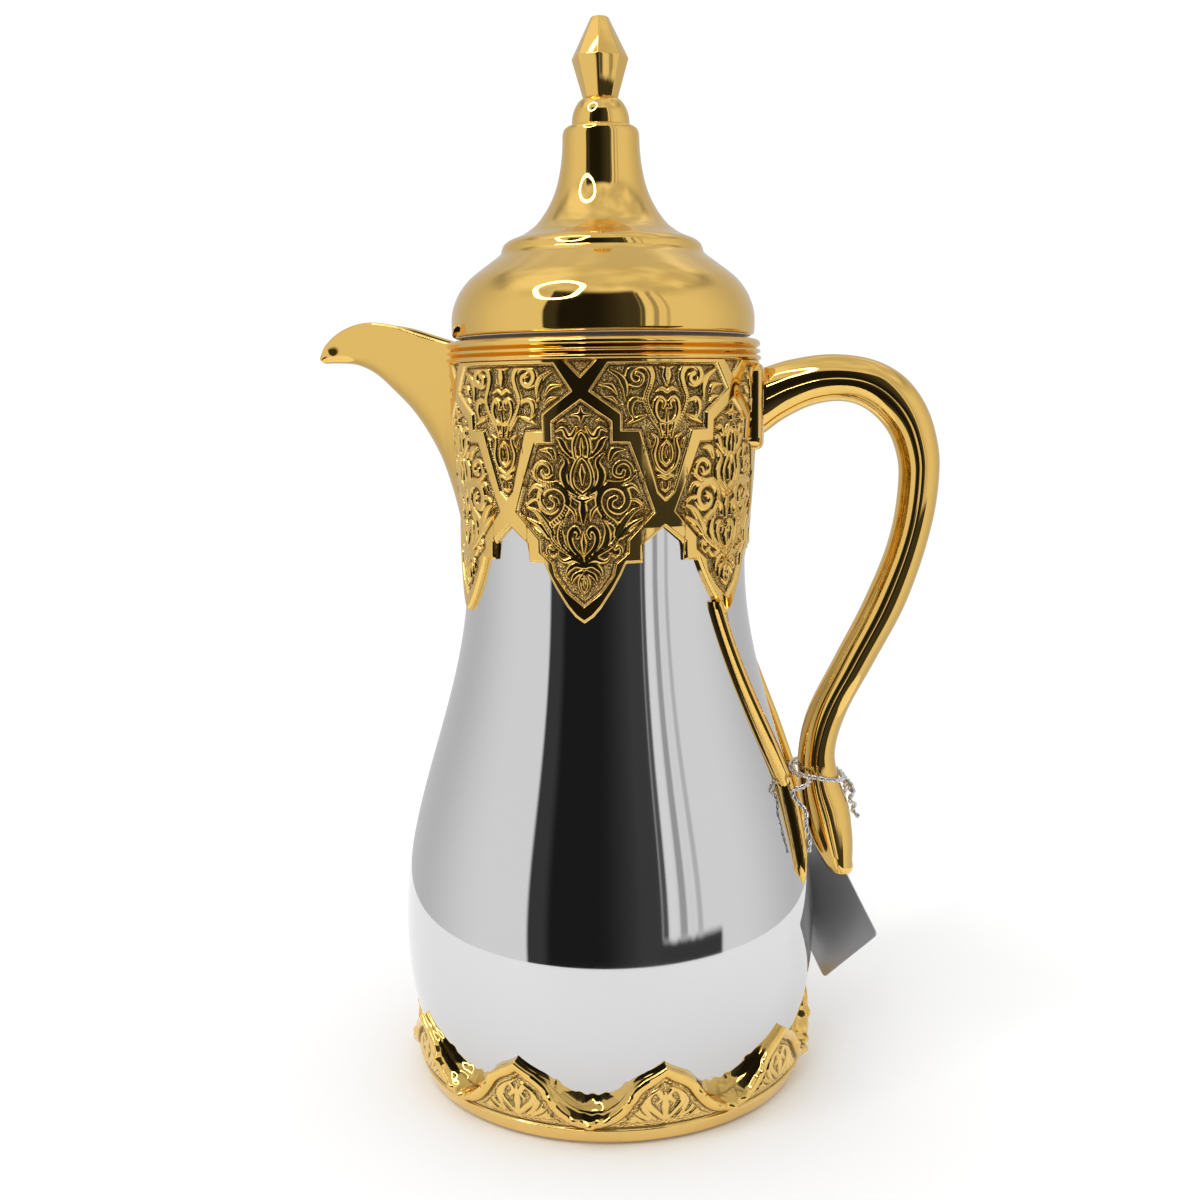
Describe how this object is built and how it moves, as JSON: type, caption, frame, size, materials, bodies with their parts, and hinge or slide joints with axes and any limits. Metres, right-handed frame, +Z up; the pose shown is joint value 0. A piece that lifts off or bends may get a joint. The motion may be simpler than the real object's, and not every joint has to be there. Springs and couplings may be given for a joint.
{
  "type": "vacuum dallah coffee pot",
  "caption": "Pear-shaped polished steel vacuum coffee pot with beak spout, S-curved handle, lobed base ring, petal skirt, screw lid and finial push button.",
  "frame": {"origin": "centre of the foot pad's underside, on the pot's axis", "axes": "+Z up along the pot's axis, +X towards the handle, -X towards the spout"},
  "size_m": [0.1996, 0.1366, 0.34],
  "materials": {
    "gold_plate": "polished gold plate",
    "polished_steel": "mirror polished",
    "steel_rod": "drawn",
    "black_rubber": "matte",
    "black_plastic": "satin",
    "liner_glass": "silvered inside the vacuum",
    "silicone": "matte",
    "cream_plastic": "gloss",
    "tie_wire": "bright twisted wire",
    "silver_card": "satin foil card"
  },
  "bodies": {
    "pot": {"body_shell": "polished_steel", "foot_pad": "black_rubber", "base_plug": "black_plastic", "base_ring": "gold_plate", "liner_outer": "liner_glass", "liner_inner": "liner_glass", "liner_cushion": "black_rubber", "neck_gasket": "silicone", "neck_insert": "cream_plastic", "collar_ring": "gold_plate", "spout": "gold_plate", "petal_skirt": "gold_plate", "handle_back": "gold_plate", "handle_belly": "gold_plate", "handle_flange": "gold_plate", "handle_studs": "steel_rod", "stay_front": "gold_plate", "stay_back": "gold_plate", "tag_wire": "tie_wire"},
    "lid_ring": {"lid_gasket": "silicone"},
    "neck_seal": {"stopper_seal": "silicone"},
    "lid": {"lid_dome": "gold_plate", "stopper_body": "cream_plastic", "rod_seal": "silicone", "button_guide": "cream_plastic"},
    "button": {"button_cap": "gold_plate", "finial": "gold_plate", "push_rod": "steel_rod", "valve_disc": "cream_plastic", "valve_seal": "silicone", "return_spring": "steel_rod"},
    "tag": {"hang_tag": "silver_card"}
  },
  "joints": [
    {"name": "lid_off", "type": "slide", "parent": "pot", "child": "lid_ring", "axis": [0, 0, 1], "range_m": [0, 0.06]},
    {"name": "lid_rise", "type": "slide", "parent": "lid_ring", "child": "neck_seal", "axis": [0, 0, 1], "range_m": [0, 0.00625]},
    {"name": "lid_turn", "type": "hinge", "parent": "neck_seal", "child": "lid", "pos_m": [0, 0, 0.242], "axis": [0, 0, 1], "range_deg": [0, 450]},
    {"name": "button_press", "type": "slide", "parent": "lid", "child": "button", "axis": [0, 0, -1], "range_m": [0, 0.005], "stiffness_N_per_m": 500, "springref_m": -0.006, "deforming": ["return_spring"]},
    {"name": "tag_swing", "type": "hinge", "parent": "pot", "child": "tag", "pos_m": [0.06458, 0.03643, 0.06327], "axis": [-0.7059, -0.6854, 0.1785], "range_deg": [0, 30]}
  ],
  "couplings": [
    {"joint": "lid_rise", "follows": "lid_turn", "m_per_rad": 0.00079577}
  ]
}
